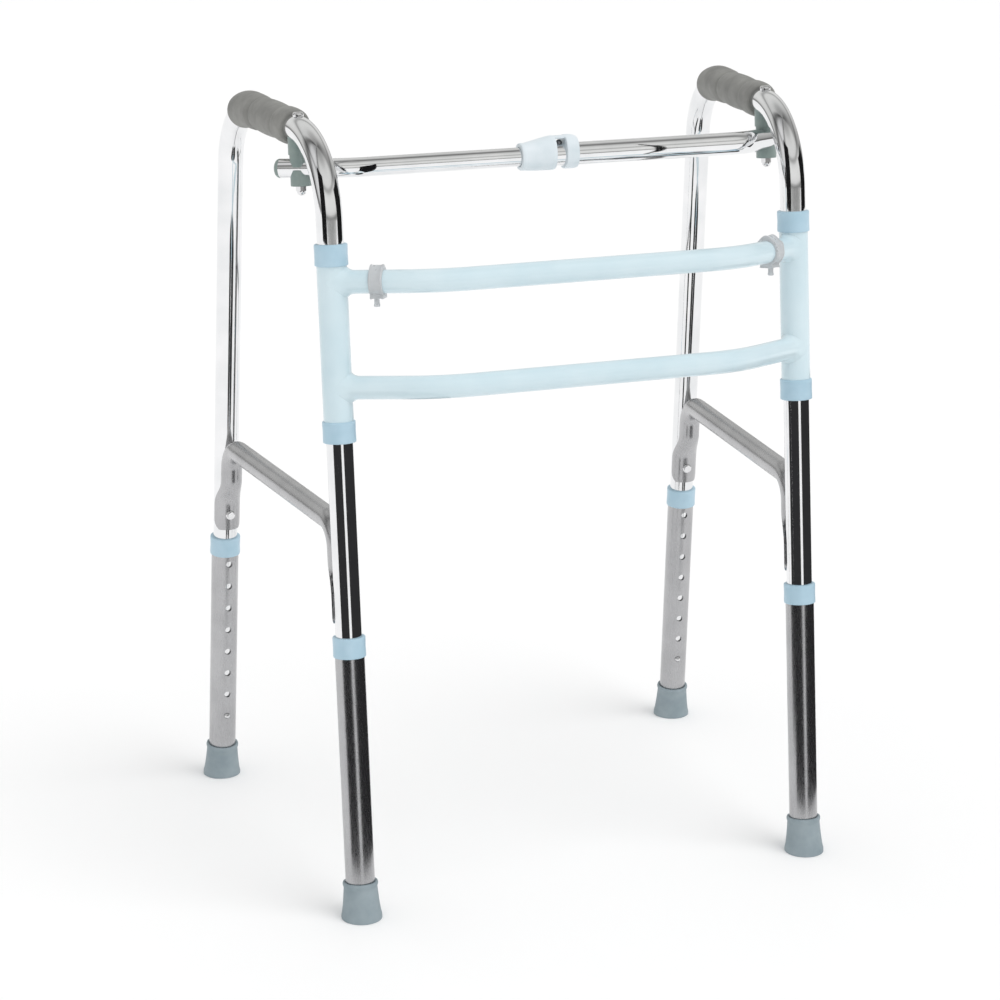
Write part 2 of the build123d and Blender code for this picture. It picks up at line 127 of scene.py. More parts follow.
def piece(name, mesh, body, nodes, material, matrix=None, sharp=35.0):
    """Links a mesh as a piece that rides on a body and stands for CAD nodes."""
    if matrix is not None:
        mesh.transform(matrix)
    obj = link_new(name, mesh)
    bm = bmesh.new()
    bm.from_mesh(mesh)
    bmesh.ops.remove_doubles(bm, verts=bm.verts, dist=1e-6)
    bmesh.ops.recalc_face_normals(bm, faces=bm.faces)
    bm.to_mesh(mesh)
    bm.free()
    mesh.polygons.foreach_set("use_smooth", [True] * len(mesh.polygons))
    mesh.set_sharp_from_angle(angle=math.radians(sharp))
    mesh.materials.append(material)
    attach(obj, body)
    if nodes:
        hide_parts(*nodes)
    return obj


def rings_mesh(name, rings, closed=False):
    """Skins a list of rings, each with the same number of points. Open ends are capped."""
    count = len(rings[0])
    points = [tuple(point) for ring in rings for point in ring]
    faces = []
    last = len(rings) if closed else len(rings) - 1
    for i in range(last):
        row, following = i * count, (i + 1) % len(rings) * count
        for j in range(count):
            k = (j + 1) % count
            faces.append((row + j, row + k, following + k, following + j))
    if not closed:
        faces.append(tuple(range(count)))
        faces.append(tuple(range(len(points) - count, len(points))))
    mesh = bpy.data.meshes.new(name)
    mesh.from_pydata(points, [], faces)
    return mesh


def joined(name, meshes):
    """One mesh from several."""
    bm = bmesh.new()
    for mesh in meshes:
        bm.from_mesh(mesh)
        bpy.data.meshes.remove(mesh)
    result = bpy.data.meshes.new(name)
    bm.to_mesh(result)
    bm.free()
    return result


def circle(radius, count=ROUND):
    """Points round a circle about the origin."""
    return [(radius * math.cos(2 * math.pi * i / count), radius * math.sin(2 * math.pi * i / count))
            for i in range(count)]


def lathe(name, outline, count=ROUND):
    """Turns a closed outline of (radius, height) about Z."""
    ways = circle(1.0, count)
    rings = [[Vector((x * radius, y * radius, height)) for radius, height in outline] for x, y in ways]
    return rings_mesh(name, rings, closed=True)


def rounded(outline, radius, steps=4):
    """Rounds every corner of a closed outline of 2-D points by up to a radius."""
    result = []
    for i, corner in enumerate(outline):
        here = Vector(corner)
        before, after = Vector(outline[i - 1]) - here, Vector(outline[(i + 1) % len(outline)]) - here
        reach = min(radius, 0.45 * before.length, 0.45 * after.length)
        start, end = here + before.normalized() * reach, here + after.normalized() * reach
        for step in range(steps + 1):
            t = step / steps
            result.append(start * (1 - t) ** 2 + here * 2 * t * (1 - t) + end * t ** 2)
    return result


def filleted(points, radii, step=1.5):
    """Points along straight runs joined by tangent arcs, with their directions."""
    points = [Vector(point) for point in points]
    path = []

    def add(position, direction):
        if not path or (position - path[-1][0]).length > 1e-4:
            path.append((position, direction.normalized()))

    add(points[0], points[1] - points[0])
    for i, radius in enumerate(radii, start=1):
        into = (points[i] - points[i - 1]).normalized()
        out = (points[i + 1] - points[i]).normalized()
        turn = into.angle(out)
        reach = radius * math.tan(turn / 2)
        centre_way = (out - into).normalized()
        centre = points[i] + centre_way * (radius / math.cos(turn / 2))
        start = points[i] - into * reach
        count = max(4, int(radius * turn / step))
        axis = into.cross(out).normalized()
        for j in range(count + 1):
            spin = Matrix.Rotation(turn * j / count, 3, axis)
            add(centre + spin @ (start - centre), spin @ into)
    add(points[-1], points[-1] - points[-2])
    return path


def divided(path, step):
    """The same path with its long straight runs cut into shorter ones."""
    result = [path[0]]
    for (start, _), (end, direction) in zip(path, path[1:]):
        count = max(1, round((end - start).length / step))
        for i in range(1, count + 1):
            way = direction if i == count else (end - start).normalized()
            result.append((start.lerp(end, i / count), way))
    return result


def section_frames(path, side_way):
    """(position, across, upward) for each point of a flat path that is square to side_way."""
    side_way = Vector(side_way).normalized()
    return [(position, side_way, direction.cross(side_way).normalized()) for position, direction in path]


def swept_tube(name, path, side_way, outer, inner, end_round=0.35):
    """A hollow tube along a flat path, with slightly broken edges at its ends."""
    frames = section_frames(path, side_way)
    profile = [(0, outer - end_round)] + [(i, outer) for i in range(len(frames))]
    profile += [(len(frames) - 1, outer - end_round), (len(frames) - 1, inner)]
    profile += [(i, inner) for i in reversed(range(len(frames)))]
    rings = []
    for index, radius in profile:
        position, across, upward = frames[index]
        rings.append([position + across * x * radius + upward * y * radius for x, y in circle(1.0)])
    return rings_mesh(name, rings, closed=True)


# ---------------------------------------------------------------- materials
class Nodes:
    """Short calls for the nodes that the materials share."""

    def __init__(self, name):
        self.material = bpy.data.materials.new(name)
        self.material.use_nodes = True
        self.tree = self.material.node_tree
        self.shader = self.tree.nodes["Principled BSDF"]
        self.place = self.tree.nodes.new("ShaderNodeTexCoord").outputs["Object"]

    def link(self, source, target):
        self.tree.links.new(source, target)

    def stretched(self, scale):
        mapping = self.tree.nodes.new("ShaderNodeMapping")
        mapping.inputs["Scale"].default_value = scale
        self.link(self.place, mapping.inputs["Vector"])
        return mapping.outputs["Vector"]

    def noise(self, scale, detail=4.0, stretch=None):
        node = self.tree.nodes.new("ShaderNodeTexNoise")
        node.inputs["Scale"].default_value = scale
        node.inputs["Detail"].default_value = detail
        self.link(self.stretched(stretch) if stretch else self.place, node.inputs["Vector"])
        return node.outputs["Fac"]

    def mapped(self, source, low, high):
        node = self.tree.nodes.new("ShaderNodeMapRange")
        node.inputs["From Min"].default_value = 0.3
        node.inputs["From Max"].default_value = 0.7
        node.inputs["To Min"].default_value = low
        node.inputs["To Max"].default_value = high
        self.link(source, node.inputs["Value"])
        return node.outputs["Result"]

    def coloured(self, source, dark, light):
        node = self.tree.nodes.new("ShaderNodeValToRGB")
        node.color_ramp.elements[0].position = 0.3
        node.color_ramp.elements[1].position = 0.7
        node.color_ramp.elements[0].color = (*dark, 1)
        node.color_ramp.elements[1].color = (*light, 1)
        self.link(source, node.inputs["Fac"])
        self.link(node.outputs["Color"], self.shader.inputs["Base Color"])

    def rough(self, source, low, high):
        self.link(self.mapped(source, low, high), self.shader.inputs["Roughness"])

    def bump(self, source, strength, distance):
        node = self.tree.nodes.new("ShaderNodeBump")
        node.inputs["Strength"].default_value = strength
        node.inputs["Distance"].default_value = distance
        self.link(source, node.inputs["Height"])
        self.link(node.outputs["Normal"], self.shader.inputs["Normal"])


def metal(name, dark, light, rough_low, rough_high, drawn=0.02):
    """Bare metal with drawing marks along its length and faint clouding."""
    n = Nodes(name)
    n.shader.inputs["Metallic"].default_value = 1.0
    lines = n.noise(900.0, 3.0, stretch=(1.0, 1.0, drawn))
    n.coloured(n.noise(30.0), dark, light)
    n.rough(lines, rough_low, rough_high)
    n.bump(lines, 0.06, 0.00004)
    return n.material


def paint(name, dark, light):
    """Stoved gloss paint with a little orange peel."""
    n = Nodes(name)
    n.shader.inputs["Coat Weight"].default_value = 0.6
    n.shader.inputs["Coat Roughness"].default_value = 0.08
    n.coloured(n.noise(18.0, 3.0), dark, light)
    n.rough(n.noise(60.0), 0.28, 0.40)
    n.bump(n.noise(420.0, 2.0), 0.10, 0.0002)
    return n.material


def moulded(name, dark, light, rough_low, rough_high, grain=700.0, depth=0.00012, strength=0.25):
    """Moulded plastic or rubber: mottled, with a fine skin texture."""
    n = Nodes(name)
    n.coloured(n.noise(55.0, 5.0), dark, light)
    n.rough(n.noise(150.0), rough_low, rough_high)
    n.bump(n.noise(grain, 3.0), strength, depth)
    return n.material


MATERIALS = {
    "bright_tube": metal("polished_aluminium", (0.80, 0.81, 0.82), (0.90, 0.90, 0.91), 0.05, 0.10),
    "satin_tube": metal("satin_aluminium", (0.43, 0.43, 0.44), (0.50, 0.50, 0.51), 0.22, 0.32),
    "blue_paint": paint("pale_blue_paint", (0.58, 0.73, 0.79), (0.66, 0.79, 0.84)),
    "blue_collar": moulded("blue_plastic", (0.40, 0.58, 0.69), (0.46, 0.63, 0.74), 0.30, 0.42),
    "grey_tip": moulded("grey_rubber", (0.24, 0.30, 0.33), (0.31, 0.37, 0.40), 0.55, 0.72, 500.0, 0.0003),
    "grey_grip": moulded("grip_foam", (0.20, 0.20, 0.19), (0.27, 0.27, 0.255), 0.55, 0.75, 1100.0, 0.0002),
    "lock_shell": moulded("pale_lock_plastic", (0.66, 0.74, 0.78), (0.75, 0.81, 0.85), 0.30, 0.42),
    "spacer": moulded("grey_green_plastic", (0.20, 0.26, 0.25), (0.27, 0.33, 0.31), 0.35, 0.5),
    "clip": moulded("milky_plastic", (0.62, 0.65, 0.67), (0.72, 0.74, 0.76), 0.25, 0.38),
    "chrome": metal("chromed_steel", (0.74, 0.74, 0.75), (0.84, 0.84, 0.85), 0.05, 0.12, drawn=1.0),
    "spring_steel": metal("spring_steel", (0.16, 0.16, 0.17), (0.24, 0.24, 0.25), 0.25, 0.4, drawn=1.0),
}
MATERIALS["clip"].node_tree.nodes["Principled BSDF"].inputs["Transmission Weight"].default_value = 0.25
SLOTS = {part["node"]: part["material_slot"] for part in RECORD["subparts"]}
for node, obj in NODES.items():
    obj.data.materials.clear()
    obj.data.materials.append(MATERIALS[SLOTS[node]])
    obj.data.polygons.foreach_set("use_smooth", [True] * len(obj.data.polygons))


def make(name, mesh, body, nodes, matrix=None, sharp=35.0):
    """A piece whose material slot is that of the first node it stands for."""
    slot = SLOTS[nodes[0]]
    return piece(name, mesh, body, nodes, MATERIALS[slot], matrix, sharp)


# ---------------------------------------------------------------- side frames
def side_tube_path():
    """Up the front leg, back along the handle and down the rear leg."""
    front_end = (0, SIDE_TUBE_END * math.sin(FRONT_LEAN), SIDE_TUBE_END * math.cos(FRONT_LEAN))
    rear_end = (0, FOOT_DEPTH - SIDE_TUBE_END * math.sin(REAR_LEAN), SIDE_TUBE_END * math.cos(REAR_LEAN))
    front_corner = (0, HANDLE_Z * math.tan(FRONT_LEAN), HANDLE_Z)
    rear_corner = (0, FOOT_DEPTH - HANDLE_Z * math.tan(REAR_LEAN), HANDLE_Z)
    return filleted([front_end, front_corner, rear_corner, rear_end], [FRONT_BEND_R, REAR_BEND_R])


def grip_mesh():
    """Soft sleeve: a collar, a groove, the palm swell, a groove and a long rear collar."""
    bend_reach = REAR_BEND_R * math.tan((math.pi / 2 - REAR_LEAN) / 2)
    bend_start = FOOT_DEPTH - HANDLE_Z * math.tan(REAR_LEAN) - bend_reach
    straight = bend_start - GRIP_START_Y
    length = straight + REAR_BEND_R * math.radians(GRIP_WRAP)

    def place(s):
        if s <= straight:
            return Vector((0, GRIP_START_Y + s, HANDLE_Z)), Vector((0, 1, 0))
        angle = (s - straight) / REAR_BEND_R
        centre = Vector((0, bend_start, HANDLE_Z - REAR_BEND_R))
        return (centre + REAR_BEND_R * Vector((0, math.sin(angle), math.cos(angle))),
                Vector((0, math.cos(angle), -math.sin(angle))))

    def outer(s):
        swells = ((0.0, 27.0, 17.3, 0.5), (27.0, 92.0, 16.2, 1.3), (92.0, length, 17.6, 0.5))
        for start, end, radius, swell in swells:
            if s <= end:
                t = (s - start) / (end - start)
                edge = min(s - start, end - s)
                groove = 1.5 * math.exp(-(edge / 3.2) ** 2)
                return radius + swell * math.sin(math.pi * t) - groove
        return 17.0

    quarter = [math.pi / 2 * i / 6 for i in range(7)]
    stations = [(0.0, 12.9), (0.0, 13.6)]
    for angle in quarter:
        drop = GRIP_EDGE_R * (1 - math.sin(angle))
        stations.append((GRIP_EDGE_R * (1 - math.cos(angle)), outer(GRIP_EDGE_R) - drop))
    steps = 110
    for i in range(1, steps):
        s = GRIP_EDGE_R + (length - 2 * GRIP_EDGE_R) * i / steps
        stations.append((s, outer(s)))
    for angle in quarter:
        drop = GRIP_EDGE_R * (1 - math.cos(angle))
        stations.append((length - GRIP_EDGE_R * (1 - math.sin(angle)), outer(length - GRIP_EDGE_R) - drop))
    stations += [(length, 13.6), (length, 12.9)]
    stations += [(length * i / 30, 12.75) for i in reversed(range(31))]
    across = Vector((1, 0, 0))
    rings = []
    for s, radius in stations:
        position, along = place(s)
        upward = along.cross(across).normalized()
        rings.append([position + across * x * radius + upward * y * radius for x, y in circle(1.0, 64)])
    return rings_mesh("grip", rings, closed=True)


def brace_mesh():
    """Tube whose ends turn down along the legs and press flat into saddles that hug them."""
    tan_f, tan_r = math.tan(FRONT_LEAN), math.tan(REAR_LEAN)

    def beside_front(z):
        return Vector((0, z * tan_f + BRACE_STAND_OFF, z))

    def beside_rear(z):
        return Vector((0, FOOT_DEPTH - z * tan_r - BRACE_STAND_OFF, z))

    corners = [beside_front(SADDLE_LOW), beside_front(BRACE_Z), beside_rear(BRACE_Z),
               beside_rear(SADDLE_LOW)]
    path = divided(filleted(corners, [BRACE_BEND_R, BRACE_BEND_R], 2.0), 3.0)
    count = 64
    across = Vector((1, 0, 0))
    rings = []
    for position, direction in path:
        if position.y < FOOT_DEPTH / 2:
            foot = Vector((0, 0, 0))
            up = Vector((0, math.sin(FRONT_LEAN), math.cos(FRONT_LEAN)))
            outward = Vector((0, up.z, -up.y))
        else:
            foot = Vector((0, FOOT_DEPTH, 0))
            up = Vector((0, -math.sin(REAR_LEAN), math.cos(REAR_LEAN)))
            outward = Vector((0, -up.z, up.y))
        height = (position - foot).dot(up)
        t = max(0.0, min(1.0, (FLAT_FROM - height) / (FLAT_FROM - FLAT_TO)))
        t = t * t * (3 - 2 * t)
        from_tip = min(1.0, (max(0.0, height - SADDLE_LOW) + 0.6) / 15.0)
        spread = math.radians(72) * math.sqrt(from_tip * (2 - from_tip))
        section = direction.cross(across).normalized()
        if section.dot(outward) < 0 and height < BRACE_Z - 30:
            section = -section
        ring = []
        for i in range(count):
            angle = 2 * math.pi * i / count
            point = position + across * BRACE_R * math.sin(angle) + section * BRACE_R * math.cos(angle)
            if t > 0:
                turn = math.remainder(angle, 2 * math.pi)
                if abs(turn) <= math.pi / 2:
                    bend, radius = turn / (math.pi / 2) * spread, SADDLE_OUTER_R
                else:
                    rest = math.copysign(math.pi - abs(turn), turn)
                    bend, radius = rest / (math.pi / 2) * spread, BUSH_BORE_R
                flat = foot + up * height + outward * radius * math.cos(bend)
                point = point.lerp(flat + across * radius * math.sin(bend), t)
            ring.append(point)
        rings.append(ring)
    return rings_mesh("brace", rings)


def tip_mesh(matrix):
    """Ribbed, flared rubber foot, cut off level with the floor."""
    outline = [(14.35, 36.4), (15.6, 37.0), (16.9, 36.6), (17.3, 35.2), (17.2, 33.6), (16.6, 32.4),
               (16.5, 31.0), (16.9, 26.0), (17.5, 19.0), (18.3, 12.0), (19.1, 6.5), (19.6, 4.6),
               (19.95, 3.2), (20.0, -6.0), (0.01, -6.0), (0.01, 7.0), (14.35, 7.0)]
    mesh = lathe("tip", outline)
    mesh.transform(matrix)
    bm = bmesh.new()
    bm.from_mesh(mesh)
    bmesh.ops.remove_doubles(bm, verts=bm.verts, dist=1e-6)
    cut = bmesh.ops.bisect_plane(bm, geom=bm.verts[:] + bm.edges[:] + bm.faces[:],
                                 plane_co=(0, 0, 0.0002), plane_no=(0, 0, 1), clear_inner=True)
    edges = [e for e in cut["geom_cut"] if isinstance(e, bmesh.types.BMEdge)]
    bmesh.ops.contextual_create(bm, geom=edges)
    bm.to_mesh(mesh)
    bm.free()
    return mesh


def collar_mesh(low, high, cup_low, cup_high):
    """Moulded bush with a soft rim, a shallow waist and a cup for the end of the tube."""
    middle = (low + high) / 2
    waist = COLLAR_R - 0.25
    outline = [(BUSH_BORE_R, low), (COLLAR_R - 0.9, low), (COLLAR_R - 0.2, low + 0.4),
               (COLLAR_R, low + 1.4), (COLLAR_R - 0.05, low + 3), (waist, middle),
               (COLLAR_R - 0.05, high - 3), (COLLAR_R, high - 1.4), (COLLAR_R - 0.25, high - 0.4),
               (COLLAR_R - 1.0, high), (BUSH_BORE_R, high)]
    if cup_low <= low:
        outline = [(CUP_R, low)] + outline[1:] + [(BUSH_BORE_R, cup_high), (CUP_R, cup_high)]
    else:
        outline = outline[:-1] + [(CUP_R, high), (CUP_R, cup_low), (BUSH_BORE_R, cup_low)]
    return lathe("collar", outline)


for side, sign in SIDES.items():
    plane = side_matrix(side)
    body = f"{side}_side"
    tube = swept_tube("side_tube", side_tube_path(), (1, 0, 0), SIDE_TUBE_R, SIDE_BORE_R)
    make(f"side_tube_bright_{side}", tube, body, [f"side_tube_{side}"], plane)
    grip = make(f"soft_grip_{side}", grip_mesh(), body, [f"grip_{side}"], plane)
    make(f"pressed_brace_{side}", brace_mesh(), body, [f"brace_{side}"], plane)
    for leg in LEGS:
        name = f"{leg}_{side}"
        matrix = leg_matrix(leg, side)
        make(f"tip_rubber_{name}", tip_mesh(matrix), f"leg_{name}", [f"rubber_tip_{name}"])
        make(f"collar_moulded_{name}", collar_mesh(*LEG_COLLAR, *LEG_CUP), f"leg_{name}",
             [f"leg_collar_{name}"], matrix)
    for place, (low, high) in SLEEVE_COLLARS.items():
        make(f"sleeve_bush_{side}_{place}", collar_mesh(low, high, *SLEEVE_CUPS[place]), "front_frame",
             [f"sleeve_collar_{side}_{place}"], FRONT_PLANE @ Matrix.Translation((sign * HALF, 0, 0)))


# ---------------------------------------------------------------- front frame
def cross_bar_mesh(height):
    """Bowed tube whose ends flare into the weld on the round sleeves."""
    corners = [(-HALF, 0, height), (-BOW_KINK_X, -BOW, height), (BOW_KINK_X, -BOW, height),
               (HALF, 0, height)]
    path = filleted(corners, [BOW_BEND_R, BOW_BEND_R])
    inner_path = [p for p in path if abs(p[0].x) < HALF - 40]
    count = 64
    rings = []

    def end_rings(sign):
        along = Vector((-sign * (HALF - BOW_KINK_X), -BOW, 0)).normalized()
        across = Vector((0, 0, 1)).cross(along)
        made = []
        for depth in (-2.0, -0.6, 0.0, 0.5, 1.1, 1.9, 2.9, 4.2, 6.0, 8.5, 12.0, 16.0):
            grow = 3.4 * max(0.0, 1 - max(depth, 0.0) / 8.5) ** 2.6
            radius = CROSS_R + grow
            ring = []
            for i in range(count):
                angle = 2 * math.pi * i / count
                lateral, vertical = radius * math.cos(angle), radius * math.sin(angle)
                start = math.sqrt(max(0.0, SLEEVE_R ** 2 - lateral ** 2))
                ring.append(Vector((sign * HALF, 0, height)) + along * (start + depth) + across * lateral
                            + Vector((0, 0, vertical)))
            made.append(ring)
        return made

    rings += end_rings(-1)
    for position, direction in inner_path:
        across = Vector((0, 0, 1)).cross(direction)
        rings.append([position + across * CROSS_R * math.cos(2 * math.pi * i / count)
                      + Vector((0, 0, CROSS_R * math.sin(2 * math.pi * i / count))) for i in range(count)])
    closing = end_rings(1)
    closing.reverse()
    for ring in closing:
        # across points the other way at this end, so the points are taken in mirror order
        rings.append([ring[(count // 2 - i) % count] for i in range(count)])
    return rings_mesh("cross_bar", rings)


for name, height in BAR_HEIGHTS.items():
    make(f"welded_bar_{name}", cross_bar_mesh(height), "front_frame", [f"{name}_cross_bar"],
         FRONT_PLANE, 50.0)


# ---------------------------------------------------------------- telescopic bar
def bar_path(sign, inner_x):
    """From the middle of the bar out past its pivot."""
    pivot = PIVOT["right"]
    run, rise = pivot.x - BAR_BEND_X, pivot.y - BAR_LINE
    length = math.hypot(run, rise)
    tip = Vector((sign * (pivot.x + BAR_TAIL * run / length), pivot.y + BAR_TAIL * rise / length, BAR_Z))
    corners = [(inner_x, BAR_LINE, BAR_Z), (sign * BAR_BEND_X, BAR_LINE, BAR_Z), tip]
    return filleted(corners, [BAR_BEND_R], 2.0)


make("bright_inner_bar", swept_tube("bar", bar_path(-1, INNER_BAR_END), (0, 0, 1), *INNER_BAR),
     "bar_left", ["bar_inner_tube"], FRONT_PLANE)
make("bright_outer_bar", swept_tube("bar", bar_path(1, OUTER_BAR_MOUTH), (0, 0, 1), *OUTER_BAR),
     "bar_right", ["bar_outer_tube"], FRONT_PLANE)


def lock_section(x, half_width, bottom, top, count=96):
    """Rounded section across the bar, deeper above it than below."""
    centre, height = (top - bottom) / 2, (top + bottom) / 2
    ring = []
    for i in range(count):
        angle = 2 * math.pi * i / count
        c, s = math.cos(angle), math.sin(angle)
        power = 2 / 2.35
        ring.append(Vector((x, BAR_LINE + half_width * math.copysign(abs(c) ** power, c),
                            BAR_Z + centre + height * math.copysign(abs(s) ** power, s))))
    return ring


def lock_bore(x, radius, channel=0.0, count=96):
    """Round bore, with a channel above it for the snap button."""
    ring = []
    for i in range(count):
        angle = 2 * math.pi * i / count
        reach = radius
        if channel > radius and math.sin(angle) > 0 and abs(math.cos(angle)) * channel < 4.6:
            reach = channel / math.sin(angle)
        ring.append(Vector((x, BAR_LINE + reach * math.cos(angle), BAR_Z + reach * math.sin(angle))))
    return ring


def lock_mesh():
    """Hood that ramps up over the snap button, a strap above its window, and a pull ring."""
    bore, narrow = OUTER_BAR[0] + 0.06, INNER_BAR[0] + 0.4
    hood = [(-33.0, 11.6, 11.8, 11.8), (-32.6, 12.3, 12.6, 12.6), (-31.6, 12.8, 13.2, 13.2),
            (-30.2, 12.9, 13.3, 13.2), (-29.2, 12.7, 13.2, 12.9), (-28.4, 12.7, 13.3, 12.9),
            (-26, 12.9, 13.6, 13.5), (-19, 13.3, 14.0, 15.1), (-12, 13.7, 14.2, 16.7),
            (-5, 14.0, 14.3, 18.2), (-1.5, 14.1, 14.3, 18.8), (0.6, 14.1, 14.3, 18.9),
            (1.5, 13.9, 14.1, 18.7), (2.0, 13.4, 13.6, 18.2)]
    pull = [(12.4, 13.6, 13.2, 18.3), (12.8, 14.1, 13.7, 18.9), (13.8, 14.3, 13.9, 19.2),
            (18.0, 14.4, 14.0, 19.3), (22.0, 14.3, 13.9, 18.8), (23.8, 14.1, 13.7, 18.2),
            (24.8, 13.7, 13.3, 17.4), (25.3, 12.9, 12.6, 16.2)]
    inside = [lock_bore(2.0, bore, 15.1), lock_bore(1.0, bore, 15.1), lock_bore(-6, bore, 13.0),
              lock_bore(-12, bore), lock_bore(-28.5, bore), lock_bore(-28.5, narrow),
              lock_bore(-33, narrow)]
    shell = rings_mesh("hood", [lock_section(*row) for row in hood] + inside, closed=True)
    pull_bore = [lock_bore(25.3, bore), lock_bore(12.4, bore)]
    ring = rings_mesh("pull", [lock_section(*row) for row in pull] + pull_bore, closed=True)
    strap = []
    half, low = 6.6, 15.3
    for x, high in ((0.2, 18.7), (3.0, 18.95), (7.0, 19.0), (11.0, 19.05), (14.0, 19.0)):
        outline = rounded([(-half, low), (half, low), (half, high - 0.9), (-half, high - 0.9)], 1.2)
        section = []
        for across, up in outline:
            crown = 0.9 * max(0.0, 1 - (across / half) ** 2) * (up > (low + high) / 2)
            section.append(Vector((x, BAR_LINE + across, BAR_Z + up + crown)))
        strap.append(section)
    return joined("lock", [shell, ring, rings_mesh("strap", strap)])


make("lock_hood", lock_mesh(), "lock_slider", ["release_slider"], FRONT_PLANE, 32.0)


def clip_matrix(sign):
    """Z along the sloping end of the upper cross bar, X up the frame."""
    offset = BOW * (HALF - CLIP_X) / (HALF - BOW_KINK_X)
    along = Vector((sign * (HALF - BOW_KINK_X), BOW, 0)).normalized()
    up = Vector((0, 0, 1))
    local = Matrix((up, along.cross(up), along)).transposed().to_4x4()
    local.translation = Vector((sign * CLIP_X, -offset, BAR_HEIGHTS["upper"]))
    return FRONT_PLANE @ local


def clip_mesh():
    """Snap-on band with raised rims, an arched keeper on top and a square foot."""
    rims = ((-6.6, -0.5), (-6.3, 0.3), (-5.9, 0.6), (-5.1, 0.6), (-4.6, 0.15), (-4.2, 0.0))
    rows = list(rims) + [(-u, lift) for u, lift in reversed(rims)]
    count = 96
    rings = []
    for u, lift in rows:
        ring = []
        for i in range(count):
            angle = math.remainder(2 * math.pi * i / count, 2 * math.pi)
            keeper = 2.6 * math.exp(-(angle / 0.42) ** 2)
            radius = 13.1 + keeper + 1.2 * math.exp(-((angle - 0.95) / 0.25) ** 2)
            from_foot = math.pi - abs(angle)
            if from_foot < 0.50:
                radius = max(radius, 15.2 / math.cos(from_foot))
            ring.append(Vector(((radius + lift) * math.cos(angle), (radius + lift) * math.sin(angle), u)))
        rings.append(ring)
    bore = CROSS_R + 0.03
    for u in (6.6, -6.6):
        rings.append([Vector((x, y, u)) for x, y in circle(bore, count)])
    return rings_mesh("clip", rings, closed=True)


def clip_pin_mesh():
    """Headed pin that hangs from the foot of the clip."""
    outline = rounded([(0.01, 4.6), (0.01, -4.4), (2.9, -4.4), (3.1, -2.6), (2.6, -1.6), (2.6, 4.6)], 0.8)
    pin = lathe("pin", [tuple(point) for point in outline], 40)
    pin.transform(Matrix.Translation((-19.2, 0, 1.6)) @ Matrix.Rotation(math.pi / 2, 4, "Y"))
    return pin


for side, sign in SIDES.items():
    make(f"snap_clip_{side}", clip_mesh(), "front_frame", [f"bar_clip_{side}"], clip_matrix(sign), 40.0)
pins = []
for sign in SIDES.values():
    pin = clip_pin_mesh()
    pin.transform(clip_matrix(sign))
    pins.append(pin)
piece("clip_pins", joined("pins", pins), "front_frame", ["clip_screws"], MATERIALS["clip"])


# ---------------------------------------------------------------- camera, light and floor
def add_camera():
    """The one view the scene is framed for."""
    data = bpy.data.cameras.new("camera")
    data.sensor_width = 36.0
    data.lens = 105.67
    camera = link_new("camera", data)
    camera.location = (-1.0177, -2.7237, 1.2020)
    camera.rotation_euler = (math.radians(90 - 16.475), 0, math.radians(-20.14))
    bpy.context.scene.camera = camera


TO_CAMERA = Vector((-0.344, -0.939, 0))
TO_RIGHT = Vector((0.939, -0.344, 0))


def around(degrees):
    """Level direction, turned to the right from the one that points at the camera."""
    turn = math.radians(degrees)
    return TO_CAMERA * math.cos(turn) + TO_RIGHT * math.sin(turn)


def flag(name, side, degrees, span, shade, distance):
    """A dark curved panel round a front leg, seen only in reflections."""
    foot = FRONT_FOOT[side]
    points = []
    steps = 12
    for i in range(steps + 1):
        way = around(degrees[0] + (degrees[1] - degrees[0]) * i / steps) * distance
        points += [foot + LEAN_AXIS * height + way for height in span]
    faces = [(2 * i, 2 * i + 2, 2 * i + 3, 2 * i + 1) for i in range(steps)]
    mesh = bpy.data.meshes.new(name)
    mesh.from_pydata(points, [], faces)
    material = bpy.data.materials.new(name)
    material.use_nodes = True
    tree = material.node_tree
    tree.nodes.clear()
    glow = tree.nodes.new("ShaderNodeEmission")
    glow.inputs["Color"].default_value = (shade, shade, shade * 1.05, 1)
    surface = tree.nodes.new("ShaderNodeOutputMaterial").inputs["Surface"]
    tree.links.new(glow.outputs["Emission"], surface)
    mesh.materials.append(material)
    obj = link_new(name, mesh)
    obj.visible_camera = False
    obj.visible_diffuse = False
    obj.visible_shadow = False
    obj.visible_transmission = False


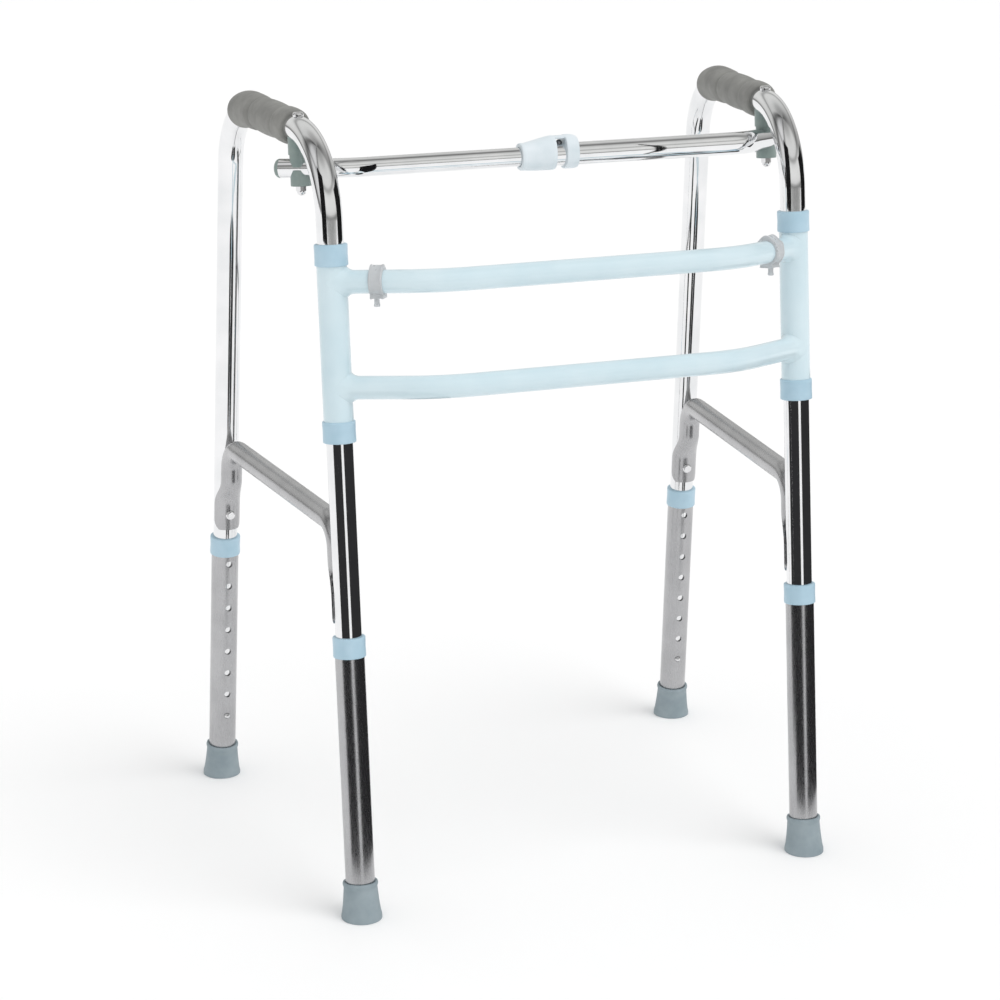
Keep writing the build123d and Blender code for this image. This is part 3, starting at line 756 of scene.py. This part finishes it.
def add_world():
    """A white tent. Reflections see soft grey seams in it, at fixed bearings and heights."""
    world = bpy.data.worlds.new("studio")
    world.use_nodes = True
    tree = world.node_tree
    back = tree.nodes["Background"]
    back.inputs["Strength"].default_value = 0.82
    place = tree.nodes.new("ShaderNodeTexCoord").outputs["Generated"]
    split = tree.nodes.new("ShaderNodeSeparateXYZ")
    tree.links.new(place, split.inputs["Vector"])
    bearing = tree.nodes.new("ShaderNodeMath")
    bearing.operation = "ARCTAN2"
    tree.links.new(split.outputs["Y"], bearing.inputs[0])
    tree.links.new(split.outputs["X"], bearing.inputs[1])
    turns = tree.nodes.new("ShaderNodeMapRange")
    turns.inputs["From Min"].default_value = -math.pi
    turns.inputs["From Max"].default_value = math.pi
    tree.links.new(bearing.outputs["Value"], turns.inputs["Value"])
    ramp = tree.nodes.new("ShaderNodeValToRGB")
    ramp.color_ramp.interpolation = "B_SPLINE"
    seams = ((-172, 1.0), (-112, 0.95), (-103, 0.16), (-93, 0.2), (-84, 0.9), (-56, 0.95),
             (-50, 0.3), (-44, 0.35), (-36, 0.98), (0, 1.0), (60, 1.0), (84, 0.9), (98, 0.35),
             (125, 0.45), (150, 0.9))
    stops = []
    for degrees, shade in seams:
        way = around(degrees)
        stops.append(((math.atan2(way.y, way.x) / math.pi + 1) / 2, shade))
    stops.sort()
    elements = ramp.color_ramp.elements
    elements[0].position, elements[1].position = stops[0][0], stops[-1][0]
    for element, (_, shade) in zip(list(elements), (stops[0], stops[-1])):
        element.color = (shade, shade, shade, 1)
    for position, shade in stops[1:-1]:
        elements.new(position).color = (shade, shade, shade * 0.98, 1)
    tree.links.new(turns.outputs["Result"], ramp.inputs["Fac"])
    height = tree.nodes.new("ShaderNodeValToRGB")
    height.color_ramp.interpolation = "B_SPLINE"
    levels = ((0.0, 0.55), (0.06, 0.12), (0.13, 0.95), (0.30, 1.0), (0.48, 1.0), (0.56, 0.25),
              (0.63, 1.0), (0.86, 0.9), (0.97, 0.4))
    parts = height.color_ramp.elements
    parts[0].position, parts[1].position = levels[0][0], levels[-1][0]
    for element, (_, shade) in zip(list(parts), (levels[0], levels[-1])):
        element.color = (shade, shade, shade, 1)
    for position, shade in levels[1:-1]:
        parts.new(position).color = (shade, shade, shade, 1)
    tree.links.new(split.outputs["Z"], height.inputs["Fac"])
    both = tree.nodes.new("ShaderNodeMix")
    both.data_type = "RGBA"
    both.blend_type = "MULTIPLY"
    both.inputs["Factor"].default_value = 1.0
    tree.links.new(ramp.outputs["Color"], both.inputs["A"])
    tree.links.new(height.outputs["Color"], both.inputs["B"])
    rays = tree.nodes.new("ShaderNodeLightPath")
    mix = tree.nodes.new("ShaderNodeMix")
    mix.data_type = "RGBA"
    mix.inputs["A"].default_value = (1.0, 1.0, 1.0, 1)
    tree.links.new(rays.outputs["Is Glossy Ray"], mix.inputs["Factor"])
    tree.links.new(both.outputs["Result"], mix.inputs["B"])
    tree.links.new(mix.outputs["Result"], back.inputs["Color"])
    bpy.context.scene.world = world
    bpy.context.scene.view_settings.view_transform = "Standard"


def add_floor():
    """A pale floor with no edge in sight."""
    mesh = bpy.data.meshes.new("floor")
    mesh.from_pydata([(-60, -60, 0), (60, -60, 0), (60, 60, 0), (-60, 60, 0)], [], [(0, 1, 2, 3)])
    floor = link_new("floor", mesh)
    material = bpy.data.materials.new("pale_floor")
    material.use_nodes = True
    shader = material.node_tree.nodes["Principled BSDF"]
    shader.inputs["Base Color"].default_value = (0.965, 0.965, 0.965, 1)
    shader.inputs["Roughness"].default_value = 0.7
    shader.inputs["Specular IOR Level"].default_value = 0.2
    mesh.materials.append(material)


def add_lights():
    """One broad soft key from the front right, and dark flags close to the front legs."""
    key = bpy.data.lights.new("key", "SUN")
    key.energy = 0.95
    key.angle = math.radians(35)
    lamp = link_new("key", key)
    lamp.visible_glossy = False
    lamp.rotation_euler = Vector((-0.35, 0.45, -1.0)).to_track_quat("-Z", "Y").to_euler()
    low, high = (0.03, 0.475), (0.655, 0.82)
    flags = (((-54, 12), low, 0.03, 0.11), ((31, 150), low, 0.03, 0.11),
             ((-58, -20), high, 0.01, 0.11), ((66, 120), (0.655, 0.74), 0.01, 0.065))
    for side in SIDES:
        for number, (degrees, span, shade, distance) in enumerate(flags):
            flag(f"flag_{side}_{number}", side, degrees, span, shade, distance)


add_camera()
add_world()
add_floor()
add_lights()
